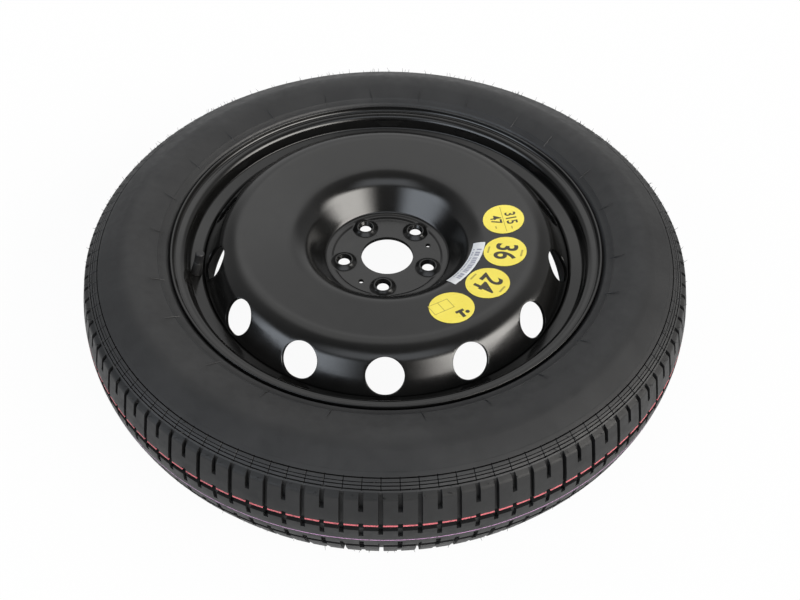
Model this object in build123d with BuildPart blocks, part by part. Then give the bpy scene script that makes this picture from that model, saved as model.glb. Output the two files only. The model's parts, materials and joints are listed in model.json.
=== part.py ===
from build123d import *
import os
from math import atan, cos, degrees, radians, sin, tan

os.makedirs("parts", exist_ok=True)

# Hub fixing. The origin is the bore's centre on the mounting face, with +Z towards the street side
hub_bore_dia = 65.1
bolt_circle_dia = 110.0
bolt_count = 5
bolt_hole_dia = 14.5
bolt_seat_dia = 19.0
bolt_seat_angle = 60.0
first_bolt_angle = 120.7
boss_base_dia = 31.0
boss_top_dia = 21.5
boss_height = 4.6
boss_wall = 6.0
locator_dia = 6.0
locator_bolts = (2, 4)
locator_lag = 30.0

# Pressed disc
disc_sheet = 4.6
pad_step = 1.6
pad_step_run = 3.0
recess_floor_dia = 154.0
floor_ring_width = 7.0
recess_depth = 42.4
recess_wall_angle = 57.0
crown_angle = 8.5
flank_angle = 50.0
pad_radius = 2.0
pad_ring_radius = 5.0
recess_floor_radius = 5.0
recess_rim_radius = 36.0
crown_radius = 32.0
flange_bend_radius = 6.0
disc_flange_depth = 7.4
vent_count = 14
vent_dia = 41.0
vent_circle_dia = 419.0
vent_height = 36.7
first_vent_angle = -90.6

# Rolled rim
bead_seat_dia = 487.4
bead_seat_taper = 5.0
rim_width = 101.6
rim_sheet = 3.0
rim_inset = 8.4
flange_height = 14.1
flange_curl_radius = 7.5
lip_reach = 10.4
lip_droop = 0.9
lip_edge_radius = 1.2
heel_radius = 6.1
seat_width = 18.0
seat_edge_radius = 6.0
well_dia = 453.0
well_corner_radius = 2.0
ledge_slope = 18.0
rear_slope = 25.0

# Welds between disc and rim
weld_gap = 0.1
weld_leg = 4.0
weld_count = 6
weld_arc = 38.0

# Tyre
tyre_dia = 728.8
section_width = 154.4
tread_width = 114.0
crown_flat_width = 40.0
shoulder_drop = 12.0
buttress_width = 133.0
buttress_drop = 27.0
widest_rise = 1.8
sidewall_flat = 16.0
crown_curve_radius = 110.0
shoulder_radius = 6.0
buttress_radius = 60.0
sidewall_upper_radius = 30.0
sidewall_lower_radius = 36.0
tread_thickness = 12.0
sidewall_thickness = 8.0
bead_gap = 0.15
bead_width = 14.0
bead_apex_rise = 15.0
bead_apex_width = 9.0
lip_cover_radius = 2.5
toe_edge_radius = 2.0
bead_apex_radius = 12.0
buttress_liner_radius = 20.0
shoulder_liner_radius = 12.0
flange_wrap_angle = 60.0
lip_cover = 13.0
tread_groove_offset = 19.0
tread_groove_width = 6.5
tread_groove_depth = 6.0
tread_pitches = 62
first_slot_angle = 2.0
slot_width = 4.2
slot_depth = 5.0
slot_shelf = 3.0
slot_tail_angle = 14.0
slot_reach = 8.0
long_slot_end = 10.0
short_slot_end = 42.0

# Snap-in valve, measured along its own axis from the ledge that it stands on
valve_angle = 192.3
valve_circle_dia = 463.6
valve_hole_dia = 11.5
rubber_gap = 0.1
head_dia = 13.6
head_length = 6.4
head_chamfer = 1.8
shank_dia = 13.2
shank_top_dia = 10.4
shank_length = 18.5
stem_dia = 7.7
stem_length = 28.5
stem_tail = 6.0
stem_bore_dia = 4.2
core_bore_dia = 5.3
core_bore_depth = 16.3
brass_gap = 0.05

# Valve core
core_depth = 12.5
core_recess = 1.0
core_end_wall = 2.0
core_chamber_dia = 3.4
pin_hole_dia = 1.6
pin_dia = 1.2
pin_recess = 0.6
collar_dia = 2.9
collar_length = 0.7
collar_drop = 0.4
core_seal_dia = 3.6
core_seal_length = 2.0
gasket_width = 2.0
gasket_depth = 0.5
spring_wire_dia = 0.4
spring_dia = 2.4
spring_turns = 5

# Valve cap
cap_dia = 10.4
cap_length = 13.5
cap_gap = 0.25
cap_lift_gap = 0.3
cap_top_wall = 2.0
cap_edge_radius = 1.2
cap_seal_thickness = 1.3
cap_seal_gap = 0.2

# Stickers on the crown
label_gap = 0.2
label_thickness = 0.25
strip_setback = 2.0
strip_width = 14.0
strip_start_angle = -50.0
strip_arc = 39.0
round_label_dia = 50.0
round_label_gap = 6.45
round_label_setouts = (-1.4, 0.2, 1.9, 3.1)
first_label_angle = 5.6

# The part of a straight that the roundings at its two ends may take up
straight_share = 0.98


def meet(point, angle, other, other_angle):
    # The point where two lines cross, each given by a point and its angle
    slope = tan(radians(angle))
    other_slope = tan(radians(other_angle))
    x = (other[1] - point[1] + slope * point[0] - other_slope * other[0]) / (slope - other_slope)
    return (x, point[1] + slope * (x - point[0]))


def fitted_radii(points, radii):
    # The roundings of a closed outline, each held to what the straights beside it have room for
    corners = [Vector(*point) for point in points]
    count = len(corners)
    straights = [corners[(k + 1) % count] - corners[k] for k in range(count)]
    tangents = []
    for k, radius in enumerate(radii):
        turn = straights[k - 1].get_angle(straights[k])
        tangents.append(radius * tan(radians(turn / 2)))
    shares = []
    for k, straight in enumerate(straights):
        room = straight_share * straight.length
        shares.append(room / max(room, tangents[k] + tangents[(k + 1) % count]))
    return [radius * min(shares[k - 1], shares[k]) for k, radius in enumerate(radii)]


def bent_sheet(points, radii, thickness, edge_radius=0.0):
    # The closed outline of a bent sheet from one face, with the other face to the right of the travel
    corners = [Vector(*point) for point in points]
    directions = [(b - a).normalized() for a, b in zip(corners, corners[1:])]
    normals = [Vector(d.Y, -d.X) for d in directions]
    back = [corners[0] + normals[0] * thickness]
    back_radii = []
    for k, corner in enumerate(corners[1:-1]):
        spread = 1.0 + normals[k].dot(normals[k + 1])
        back.append(corner + (normals[k] + normals[k + 1]) * (thickness / spread))
        turns_left = directions[k].cross(directions[k + 1]).Z > 0
        back_radii.append(max(radii[k] + (thickness if turns_left else -thickness), 0.0))
    back.append(corners[-1] + normals[-1] * thickness)
    edges = [edge_radius, edge_radius]
    outline = [*corners, *reversed(back)]
    outline_radii = [edge_radius, *radii, *edges, *reversed(back_radii), edge_radius]
    return FilletPolyline(*outline, radius=fitted_radii(outline, outline_radii), close=True)


def valve_half(points):
    # The closed half section of a turned valve piece, as distances from and along the valve's axis
    with BuildSketch(valve_section) as section:
        with BuildLine():
            Polyline(*points, close=True)
        make_face()
    return section.sketch


# Rim section, on the tyre's side of the sheet, as (radius, height)
rim_middle = -rim_inset
bead_seat_radius = bead_seat_dia / 2
well_radius = well_dia / 2
seat_drop = seat_width * tan(radians(bead_seat_taper))
seat_end_radius = bead_seat_radius - seat_drop
crest_radius = bead_seat_radius + flange_height
front_flange = rim_middle + rim_width / 2
rear_flange = rim_middle - rim_width / 2
ledge_rise = (seat_end_radius - well_radius) * tan(radians(ledge_slope))
rear_rise = (seat_end_radius - well_radius) * tan(radians(rear_slope))
rim_points = (
    (crest_radius - lip_droop, front_flange + lip_reach),
    (crest_radius, front_flange),
    (bead_seat_radius, front_flange),
    (seat_end_radius, front_flange - seat_width),
    (well_radius, front_flange - seat_width - ledge_rise),
    (well_radius, rear_flange + seat_width + rear_rise),
    (seat_end_radius, rear_flange + seat_width),
    (bead_seat_radius, rear_flange),
    (crest_radius, rear_flange),
    (crest_radius - lip_droop, rear_flange - lip_reach),
)
rim_radii = (
    flange_curl_radius,
    heel_radius,
    seat_edge_radius,
    well_corner_radius,
    well_corner_radius,
    seat_edge_radius,
    heel_radius,
    flange_curl_radius,
)

# The valve stands square on the ledge between the front bead seat and the well
valve_radius = valve_circle_dia / 2
ledge_height = rim_points[4][1] + (valve_radius - well_radius) * tan(radians(ledge_slope))
valve_foot = (valve_radius, ledge_height + rim_sheet / cos(radians(ledge_slope)))
spoke = Vector(1, 0, 0).rotate(Axis.Z, valve_angle)
valve_lean = 90.0 + ledge_slope
valve_plane = Plane(
    origin=spoke * valve_foot[0] + Vector(0, 0, valve_foot[1]),
    x_dir=spoke * cos(radians(ledge_slope)) + Vector(0, 0, sin(radians(ledge_slope))),
    z_dir=spoke * cos(radians(valve_lean)) + Vector(0, 0, sin(radians(valve_lean))),
)
valve_axis = Axis(valve_plane.origin, valve_plane.z_dir)
valve_section = Plane(valve_plane.origin, x_dir=valve_plane.x_dir, z_dir=-valve_plane.y_dir)

with BuildPart() as rim:
    with BuildSketch(Plane.XZ):
        with BuildLine():
            bent_sheet(rim_points, rim_radii, rim_sheet, lip_edge_radius)
        make_face()
    revolve(axis=Axis.Z)
    with Locations(valve_plane.location):
        Cylinder(valve_hole_dia / 2, 4 * rim_sheet, mode=Mode.SUBTRACT)
rim.part.label = "rim"
export_step(rim.part, "parts/rim.step")

# Disc section on its front face: hub pad, recess wall, sloping crown, vented flank and welded flange
disc_flange_radius = well_radius - rim_sheet - weld_gap
hub_front = disc_sheet
recess_floor = hub_front + pad_step
wall_run = (recess_depth - pad_step) / tan(radians(recess_wall_angle))
recess_rim = (recess_floor_dia / 2 + wall_run, hub_front + recess_depth)
vent_centre = (vent_circle_dia / 2, vent_height)
crown_edge = meet(recess_rim, crown_angle, vent_centre, -flank_angle)
flank_run = disc_flange_radius - vent_centre[0]
flank_foot = (disc_flange_radius, vent_height - flank_run * tan(radians(flank_angle)))
floor_edge = recess_floor_dia / 2
pad_edge = floor_edge - floor_ring_width - pad_step_run
disc_points = (
    (hub_bore_dia / 2, hub_front),
    (pad_edge, hub_front),
    (pad_edge + pad_step_run, recess_floor),
    (floor_edge, recess_floor),
    recess_rim,
    crown_edge,
    flank_foot,
    (disc_flange_radius, -disc_flange_depth),
)
disc_radii = (
    pad_radius,
    pad_ring_radius,
    recess_floor_radius,
    recess_rim_radius,
    crown_radius,
    flange_bend_radius,
)
bolt_pitch = 360.0 / bolt_count
bolt_radius = bolt_circle_dia / 2
vent_angles = [first_vent_angle + 360.0 * k / vent_count for k in range(vent_count)]
vent_places = [
    Location((0, 0, 0), (0, 0, angle))
    * Location((vent_centre[0], 0, vent_height), (0, 90.0 - flank_angle, 0))
    for angle in vent_angles
]

with BuildPart() as wheel_disc:
    with BuildSketch(Plane.XZ):
        with BuildLine():
            bent_sheet(disc_points, disc_radii, disc_sheet)
        make_face()
    revolve(axis=Axis.Z)
    with Locations(*vent_places):
        Cylinder(vent_dia / 2, 6 * disc_sheet, mode=Mode.SUBTRACT)
    boss_flank = (boss_base_dia - boss_top_dia) / 2
    hollow_height = hub_front + boss_height - boss_wall
    hollow_base_radius = boss_base_dia / 2 - boss_wall / 2
    hollow_top_radius = hollow_base_radius - boss_flank * hollow_height / boss_height
    with PolarLocations(bolt_radius, bolt_count, first_bolt_angle):
        with Locations((0, 0, hub_front)):
            Cone(
                boss_base_dia / 2,
                boss_top_dia / 2,
                boss_height,
                align=(Align.CENTER, Align.CENTER, Align.MIN),
            )
        Cone(
            hollow_base_radius,
            hollow_top_radius,
            hollow_height,
            align=(Align.CENTER, Align.CENTER, Align.MIN),
            mode=Mode.SUBTRACT,
        )
        with Locations((0, 0, hub_front + boss_height)):
            CounterSinkHole(
                bolt_hole_dia / 2,
                bolt_seat_dia / 2,
                counter_sink_angle=bolt_seat_angle,
            )
    locator_angles = [first_bolt_angle + k * bolt_pitch - locator_lag for k in locator_bolts]
    for angle in locator_angles:
        with PolarLocations(bolt_radius, 1, angle):
            with Locations((0, 0, hub_front)):
                Hole(locator_dia / 2, 2 * disc_sheet)
wheel_disc.part.label = "wheel_disc"
export_step(wheel_disc.part, "parts/wheel_disc.step")

# Weld runs in the corner between the disc flange's end and the well
weld_corner = (well_radius - rim_sheet - weld_gap, -disc_flange_depth - weld_gap)
weld_points = (
    weld_corner,
    (weld_corner[0] - weld_leg, weld_corner[1]),
    (weld_corner[0], weld_corner[1] - weld_leg),
)
with BuildPart() as weld_runs:
    for k in range(weld_count):
        with BuildSketch(Plane.XZ.rotated((0, 0, 360.0 * k / weld_count))):
            with BuildLine():
                Polyline(*weld_points, close=True)
            make_face()
        revolve(axis=Axis.Z, revolution_arc=weld_arc)
weld_runs.part.label = "weld_runs"
export_step(weld_runs.part, "parts/weld_runs.step")

# Tyre section, given for one side as distances from the middle plane and radii
tyre_radius = tyre_dia / 2
half_section = section_width / 2
bead_side = rim_width / 2 - bead_gap
bead_radius = bead_seat_radius + bead_gap
wrap_radius = flange_curl_radius + bead_gap
wrap_corner = crest_radius - flange_curl_radius + wrap_radius * tan(radians(flange_wrap_angle / 2))
toe_radius = bead_radius - bead_width * tan(radians(bead_seat_taper))
cover_radius = wrap_corner + lip_cover * cos(radians(flange_wrap_angle))
buttress_height = tyre_radius - buttress_drop
widest_radius = (cover_radius + buttress_height) / 2 + widest_rise
upper_flat = widest_radius + sidewall_flat / 2
lower_flat = widest_radius - sidewall_flat / 2
liner_half_width = half_section - sidewall_thickness
liner_radius = tyre_radius - tread_thickness
tyre_half = (
    (crown_flat_width / 2, tyre_radius, crown_curve_radius),
    (tread_width / 2, tyre_radius - shoulder_drop, shoulder_radius),
    (buttress_width / 2, buttress_height, buttress_radius),
    (half_section, upper_flat, sidewall_upper_radius),
    (half_section, lower_flat, sidewall_lower_radius),
    (bead_side + lip_cover * sin(radians(flange_wrap_angle)), cover_radius, lip_cover_radius),
    (bead_side, wrap_corner, wrap_radius),
    (bead_side, bead_radius, heel_radius + bead_gap),
    (bead_side - bead_width, toe_radius, toe_edge_radius),
    (bead_side - bead_apex_width, toe_radius + bead_apex_rise, bead_apex_radius),
    (liner_half_width, lower_flat, sidewall_lower_radius - sidewall_thickness),
    (liner_half_width, upper_flat, sidewall_upper_radius - sidewall_thickness),
    (buttress_width / 2 - sidewall_thickness, buttress_height, buttress_liner_radius),
    (
        tread_width / 2 - tread_thickness,
        liner_radius - shoulder_drop / 2,
        shoulder_liner_radius,
    ),
    (crown_flat_width / 2, liner_radius, crown_curve_radius - tread_thickness),
)
upper_points = [(radius, rim_middle + distance) for distance, radius, rounding in tyre_half]
lower_points = [(radius, rim_middle - distance) for distance, radius, rounding in tyre_half]
half_radii = [rounding for distance, radius, rounding in tyre_half]
tyre_outline = [*upper_points, *reversed(lower_points)]
tyre_radii = fitted_radii(tyre_outline, half_radii + half_radii[::-1])

# Tread slots run in from both shoulders, by turns long and short
tread_slope = shoulder_drop / (tread_width / 2 - crown_flat_width / 2)
tread_pitch = 360.0 / tread_pitches
slot_sweep = degrees(slot_width / tyre_radius)
slot_roof = tyre_radius + slot_depth
shelf_end = tread_width / 2 - slot_shelf
slot_end = tread_width / 2 + slot_reach


def slot_floor(distance):
    # The floor's radius at a distance from the middle plane, under the flat crown or the slope beside it
    return tyre_radius - slot_depth - max(distance - crown_flat_width / 2, 0.0) * tread_slope


def slot_section(side, angle, inner_end):
    # The outline of a slot on one side, from its inner end to the tail that runs out past the shoulder
    stops = sorted({inner_end, max(inner_end, crown_flat_width / 2), shelf_end})
    tail = slot_floor(shelf_end) - (slot_end - shelf_end) * tan(radians(slot_tail_angle))
    points = [
        (slot_roof, inner_end),
        *[(slot_floor(stop), stop) for stop in stops],
        (tail, slot_end),
        (slot_roof, slot_end),
    ]
    with BuildSketch(Plane.XZ.rotated((0, 0, angle - slot_sweep / 2))) as section:
        with BuildLine():
            Polyline(*[(radius, rim_middle + side * distance) for radius, distance in points], close=True)
        make_face()
    return section.sketch


with BuildPart() as tread_cutter:
    for side in (-1, 1):
        long_slot = slot_section(side, first_slot_angle, long_slot_end)
        short_slot = slot_section(side, first_slot_angle + tread_pitch / 2, short_slot_end)
        revolve(long_slot, axis=Axis.Z, revolution_arc=slot_sweep)
        revolve(short_slot, axis=Axis.Z, revolution_arc=slot_sweep)

with BuildPart() as tyre:
    with BuildSketch(Plane.XZ):
        with BuildLine():
            FilletPolyline(*tyre_outline, radius=tyre_radii, close=True)
        make_face()
    revolve(axis=Axis.Z)
    with BuildSketch(Plane.XZ):
        for side in (-1, 1):
            with Locations((tyre_radius, rim_middle + side * tread_groove_offset)):
                Rectangle(2 * tread_groove_depth, tread_groove_width)
    revolve(axis=Axis.Z, mode=Mode.SUBTRACT)
    with PolarLocations(0, tread_pitches):
        add(tread_cutter.part, mode=Mode.SUBTRACT)
tyre.part.label = "tyre"
export_step(tyre.part, "parts/tyre.step")

# Rubber valve body: head under the ledge, neck in the hole, tapered shank above
neck_radius = valve_hole_dia / 2 - rubber_gap
head_top = -rim_sheet - rubber_gap
head_end = head_top - head_length
body_bore_radius = stem_dia / 2 + brass_gap
air_radius = stem_bore_dia / 2
stem_end = -stem_tail
body_points = (
    (air_radius, head_end),
    (head_dia / 2 - head_chamfer, head_end),
    (head_dia / 2, head_end + head_chamfer),
    (head_dia / 2, head_top - head_chamfer),
    (neck_radius, head_top),
    (neck_radius, rubber_gap),
    (shank_dia / 2, rubber_gap),
    (shank_dia / 2, rubber_gap + head_chamfer),
    (shank_top_dia / 2, shank_length),
    (body_bore_radius, shank_length),
    (body_bore_radius, stem_end - brass_gap),
    (air_radius, stem_end - brass_gap),
)
with BuildPart() as valve_body:
    revolve(valve_half(body_points), axis=valve_axis)
valve_body.part.label = "valve_body"
export_step(valve_body.part, "parts/valve_body.step")

# Brass stem with an air way below and the core's bore above
core_floor = stem_length - core_bore_depth
stem_points = (
    (air_radius, stem_end),
    (stem_dia / 2, stem_end),
    (stem_dia / 2, stem_length),
    (core_bore_dia / 2, stem_length),
    (core_bore_dia / 2, core_floor),
    (air_radius, core_floor),
)
with BuildPart() as valve_stem:
    revolve(valve_half(stem_points), axis=valve_axis)
valve_stem.part.label = "valve_stem"
export_step(valve_stem.part, "parts/valve_stem.step")

# Core housing: a barrel with a spring chamber, a groove for its gasket and a pin hole at each end
housing_radius = core_bore_dia / 2 - brass_gap
housing_top = stem_length - core_recess
housing_end = stem_length - core_depth
chamber_top = housing_top - core_end_wall
chamber_floor = housing_end + core_end_wall
chamber_radius = core_chamber_dia / 2
pin_hole_radius = pin_hole_dia / 2
groove_floor = housing_end + (core_end_wall - gasket_width / 2) / 2
groove_radius = housing_radius - gasket_depth
housing_points = (
    (pin_hole_radius, housing_end),
    (groove_radius, housing_end),
    (groove_radius, groove_floor + gasket_width),
    (housing_radius, groove_floor + gasket_width),
    (housing_radius, housing_top),
    (pin_hole_radius, housing_top),
    (pin_hole_radius, chamber_top),
    (chamber_radius, chamber_top),
    (chamber_radius, chamber_floor),
    (pin_hole_radius, chamber_floor),
)
with BuildPart() as core_housing:
    revolve(valve_half(housing_points), axis=valve_axis)
core_housing.part.label = "core_housing"
export_step(core_housing.part, "parts/core_housing.step")

gasket_points = (
    (groove_radius + brass_gap, groove_floor),
    (housing_radius, groove_floor),
    (housing_radius, groove_floor + gasket_width - brass_gap),
    (groove_radius + brass_gap, groove_floor + gasket_width - brass_gap),
)
with BuildPart() as core_gasket:
    revolve(valve_half(gasket_points), axis=valve_axis)
core_gasket.part.label = "core_gasket"
export_step(core_gasket.part, "parts/core_gasket.step")

# Plunger pin with the collar that the spring pushes up
pin_radius = pin_dia / 2
pin_top = stem_length - pin_recess
collar_top = chamber_top - collar_drop
collar_floor = collar_top - collar_length
seal_top = housing_end - brass_gap
seal_end = seal_top - core_seal_length
pin_points = (
    (0, seal_end),
    (pin_radius, seal_end),
    (pin_radius, collar_floor),
    (collar_dia / 2, collar_floor),
    (collar_dia / 2, collar_top),
    (pin_radius, collar_top),
    (pin_radius, pin_top),
    (0, pin_top),
)
with BuildPart() as core_pin:
    revolve(valve_half(pin_points), axis=valve_axis)
core_pin.part.label = "core_pin"
export_step(core_pin.part, "parts/core_pin.step")

seal_points = (
    (pin_radius + brass_gap, seal_end),
    (core_seal_dia / 2, seal_end),
    (core_seal_dia / 2, seal_top),
    (pin_radius + brass_gap, seal_top),
)
with BuildPart() as core_seal:
    revolve(valve_half(seal_points), axis=valve_axis)
core_seal.part.label = "core_seal"
export_step(core_seal.part, "parts/core_seal.step")

# Coil spring between the chamber's floor and the collar
spring_floor = chamber_floor + brass_gap + spring_wire_dia / 2
spring_height = collar_floor - brass_gap - spring_wire_dia / 2 - spring_floor
spring_pitch = spring_height / spring_turns
spring_start = valve_plane.offset(spring_floor).origin
with BuildPart() as core_spring:
    with BuildLine():
        coil = Helix(spring_pitch, spring_height, spring_dia / 2, spring_start, valve_plane.z_dir)
    with BuildSketch(Plane(origin=coil @ 0, z_dir=coil % 0)):
        Circle(spring_wire_dia / 2)
    sweep(path=coil, is_frenet=True)
core_spring.part.label = "core_spring"
export_step(core_spring.part, "parts/core_spring.step")

# Screw cap over the stem, with its washer just above the stem's end
cap_floor = shank_length + cap_lift_gap
cap_top = cap_floor + cap_length
cap_bore_radius = stem_dia / 2 + cap_gap
cap_roof = cap_top - cap_top_wall
cap_points = (
    (0, cap_roof),
    (cap_bore_radius, cap_roof),
    (cap_bore_radius, cap_floor),
    (cap_dia / 2, cap_floor),
    (cap_dia / 2, cap_top),
    (0, cap_top),
)
with BuildPart() as valve_cap:
    revolve(valve_half(cap_points), axis=valve_axis)
    top_edge = valve_cap.edges().filter_by(GeomType.CIRCLE).sort_by(valve_axis)[-1]
    fillet(top_edge, cap_edge_radius)
valve_cap.part.label = "valve_cap"
export_step(valve_cap.part, "parts/valve_cap.step")

washer_floor = stem_length + cap_seal_gap
washer_points = (
    (pin_hole_radius, washer_floor),
    (stem_dia / 2, washer_floor),
    (stem_dia / 2, washer_floor + cap_seal_thickness),
    (pin_hole_radius, washer_floor + cap_seal_thickness),
)
with BuildPart() as cap_seal:
    revolve(valve_half(washer_points), axis=valve_axis)
cap_seal.part.label = "cap_seal"
export_step(cap_seal.part, "parts/cap_seal.step")

# Stickers follow the crown's face between the recess and the flank
crown_points = (
    (floor_edge, recess_floor),
    recess_rim,
    crown_edge,
    flank_foot,
)
crown_radii = (recess_rim_radius, crown_radius)
sticker_top = label_gap + label_thickness


def sticker_section(plane, inner_radius, outer_radius):
    # The sticker's thickness over the crown, between two radii
    with BuildSketch(plane) as section:
        for height, mode in ((sticker_top, Mode.ADD), (label_gap, Mode.SUBTRACT)):
            with BuildLine():
                bent_sheet(crown_points, crown_radii, -height)
            make_face(mode=mode)
        band_middle = ((inner_radius + outer_radius) / 2, recess_rim[1])
        with Locations(band_middle):
            Rectangle(outer_radius - inner_radius, 2 * recess_depth, mode=Mode.INTERSECT)
    return section.sketch


strip_inner_radius = recess_rim[0] + strip_setback
strip_outer_radius = strip_inner_radius + strip_width
label_step = round_label_dia + round_label_gap
label_turn = first_label_angle
for number, setout in enumerate(round_label_setouts, 1):
    radius = strip_outer_radius + setout + round_label_dia / 2
    angle = label_turn
    label_turn = angle - degrees(label_step / radius)
    label_sweep = 2 * degrees(atan(round_label_dia / radius))
    label_height = recess_rim[1] + (radius - recess_rim[0]) * tan(radians(crown_angle))
    with BuildPart() as round_label:
        label_start = Plane.XZ.rotated((0, 0, angle - label_sweep / 2))
        section = sticker_section(label_start, radius - round_label_dia, radius + round_label_dia)
        revolve(section, axis=Axis.Z, revolution_arc=label_sweep)
        spot = Location((radius, 0, label_height), (0, -crown_angle, 0))
        with Locations(Location((0, 0, 0), (0, 0, angle)) * spot):
            Cylinder(round_label_dia / 2, recess_depth, mode=Mode.INTERSECT)
    round_label.part.label = f"round_label_{number}"
    export_step(round_label.part, f"parts/round_label_{number}.step")

with BuildPart() as strip_label:
    strip_start = Plane.XZ.rotated((0, 0, strip_start_angle))
    section = sticker_section(strip_start, strip_inner_radius, strip_outer_radius)
    revolve(section, axis=Axis.Z, revolution_arc=strip_arc)
strip_label.part.label = "strip_label"
export_step(strip_label.part, "parts/strip_label.step")
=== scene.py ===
import bmesh
import bpy
import json
import random
from math import atan2, ceil, cos, degrees, hypot, pi, radians, sin, sqrt, tan
from mathutils import Matrix, Quaternion, Vector
from mathutils.bvhtree import BVHTree
from mathutils.kdtree import KDTree

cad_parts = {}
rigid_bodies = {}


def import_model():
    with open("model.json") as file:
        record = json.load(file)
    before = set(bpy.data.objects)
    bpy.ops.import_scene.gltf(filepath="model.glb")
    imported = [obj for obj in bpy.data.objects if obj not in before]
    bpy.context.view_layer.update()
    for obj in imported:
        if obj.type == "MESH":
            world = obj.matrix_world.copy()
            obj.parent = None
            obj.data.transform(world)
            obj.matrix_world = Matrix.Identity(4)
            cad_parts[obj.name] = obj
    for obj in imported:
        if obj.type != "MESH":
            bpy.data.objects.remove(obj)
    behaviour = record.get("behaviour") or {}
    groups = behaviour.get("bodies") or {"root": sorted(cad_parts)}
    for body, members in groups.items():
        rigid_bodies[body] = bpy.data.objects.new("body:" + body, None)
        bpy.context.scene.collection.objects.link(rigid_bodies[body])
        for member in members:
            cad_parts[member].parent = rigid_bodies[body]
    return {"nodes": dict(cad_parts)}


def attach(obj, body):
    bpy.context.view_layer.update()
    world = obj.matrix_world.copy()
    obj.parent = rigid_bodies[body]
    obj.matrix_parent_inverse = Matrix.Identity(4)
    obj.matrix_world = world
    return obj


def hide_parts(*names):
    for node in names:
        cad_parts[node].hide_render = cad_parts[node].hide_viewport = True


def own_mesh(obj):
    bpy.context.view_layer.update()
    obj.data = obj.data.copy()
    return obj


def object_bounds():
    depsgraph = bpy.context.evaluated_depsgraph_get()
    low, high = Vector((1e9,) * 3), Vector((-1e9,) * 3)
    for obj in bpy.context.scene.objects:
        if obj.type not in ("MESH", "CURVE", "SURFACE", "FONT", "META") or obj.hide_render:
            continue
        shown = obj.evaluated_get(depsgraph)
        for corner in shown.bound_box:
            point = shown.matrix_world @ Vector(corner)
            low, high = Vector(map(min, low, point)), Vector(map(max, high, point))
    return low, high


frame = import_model()
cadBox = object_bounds()
mm = 0.001
scene = bpy.context.scene
scene.view_settings.view_transform = "Standard"
wheelAxis = Vector((0, 0, 1))
rimMiddle = -8.4  # height of the rim's middle plane, in mm
sharpAngle = 32.0  # edges that turn more than this stay sharp, in degrees
print("frame loaded:", len(frame["nodes"]), "nodes")


# Mesh helpers


def roundedWire(bm, corners, closed=False, finest=None, bend=7.0):
    # corners are (radius, height, rounding) in mm, drawn in the XZ half plane
    verts = [bm.verts.new((radius * mm, 0, height * mm)) for radius, height, rounding in corners]
    for a, b in zip(verts, verts[1:] + verts[:1] if closed else verts[1:]):
        bm.edges.new((a, b))
    for vert, (radius, height, rounding) in zip(verts, corners):
        if rounding:
            legs = [edge.other_vert(vert).co - vert.co for edge in vert.link_edges]
            turn = pi - legs[0].angle(legs[1])
            bmesh.ops.bevel(
                bm, geom=[vert], offset=rounding * mm * tan(turn / 2), offset_type="OFFSET",
                segments=max(2, ceil(degrees(turn) / bend)), profile=0.5, affect="VERTICES",
                clamp_overlap=False, material=-1,
            )
    if finest:
        for edge in bm.edges[:]:
            cuts = int(edge.calc_length() / (finest * mm))
            if cuts:
                bmesh.ops.subdivide_edges(bm, edges=[edge], cuts=cuts)


def spinRound(bm, steps):
    bmesh.ops.spin(
        bm, geom=bm.verts[:] + bm.edges[:], cent=(0, 0, 0), axis=wheelAxis,
        angle=2 * pi, steps=steps, use_merge=True,
    )


def bothSides(half):
    # a section's front half, given as (radius, distance from the middle plane, rounding), and its mirror
    front = [(radius, rimMiddle + distance, rounding) for radius, distance, rounding in half]
    rear = [(radius, rimMiddle - distance, rounding) for radius, distance, rounding in reversed(half)]
    return front + rear


def openEdges(bm):
    return [edge for edge in bm.edges if edge.is_boundary]


def makePiece(bm, name, body, material, nodes=()):
    mesh = bpy.data.meshes.new(name)
    bm.to_mesh(mesh)
    bm.free()
    mesh.shade_smooth()
    mesh.set_sharp_from_angle(angle=radians(sharpAngle))
    piece = bpy.data.objects.new(name, mesh)
    scene.collection.objects.link(piece)
    mesh.materials.append(material)
    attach(piece, body)
    if nodes:
        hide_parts(*nodes)
    print("piece", name, len(mesh.polygons), "faces")
    return piece


# how far outside the skin a line starts, how deep a skin can lie, and how square to the hole it is
holeSearch = {"start": 60.0, "sheet": 12.0, "facing": 0.15}


def skinPoint(tree, point, axis):
    # where a line along the axis first meets the skin, coming from outside
    hit = tree.ray_cast(point + axis * holeSearch["start"] * mm, -axis)
    return hit[0]


def cutSkin(skin, centre, axis, way, reach):
    # faces of one skin near the axis, and the edges that stay open round them
    found = []
    for point, vertIndex, distance in skin["near"].find_range(centre, reach + holeSearch["sheet"] * mm):
        vert = skin["verts"][vertIndex]
        if vert.is_valid:
            offset = vert.co - centre
            if (offset - axis * offset.dot(axis)).length < reach:
                found += [face for face in vert.link_faces
                          if face.normal.dot(axis) * way > holeSearch["facing"]]
    cut = dict.fromkeys(found)
    rim = dict.fromkeys(edge for face in cut for edge in face.edges
                        if any(other not in cut for other in edge.link_faces))
    return list(cut), list(rim)


def skinOf(bm):
    # the plain skins before any hole, for finding places on them
    verts = bm.verts[:]
    near = KDTree(len(verts))
    for index, vert in enumerate(verts):
        near.insert(vert.co, index)
    near.balance()
    return {"tree": BVHTree.FromBMesh(bm), "verts": verts, "near": near}


def drawOn(bm, edges):
    # the same edges once more, joined to the first by faces
    drawn = bmesh.ops.extrude_edge_only(bm, edges=edges)["geom"]
    verts = [item for item in drawn if isinstance(item, bmesh.types.BMVert)]
    fresh = set(verts)
    far = [item for item in drawn
           if isinstance(item, bmesh.types.BMEdge) and fresh.issuperset(item.verts)]
    return verts, far


def edgeRows(form):
    # a hole's rounded edge: radius and depth, from the outside in
    return [(form["hole"] + wider, depth) for wider, depth in form["edge"]]


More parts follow.
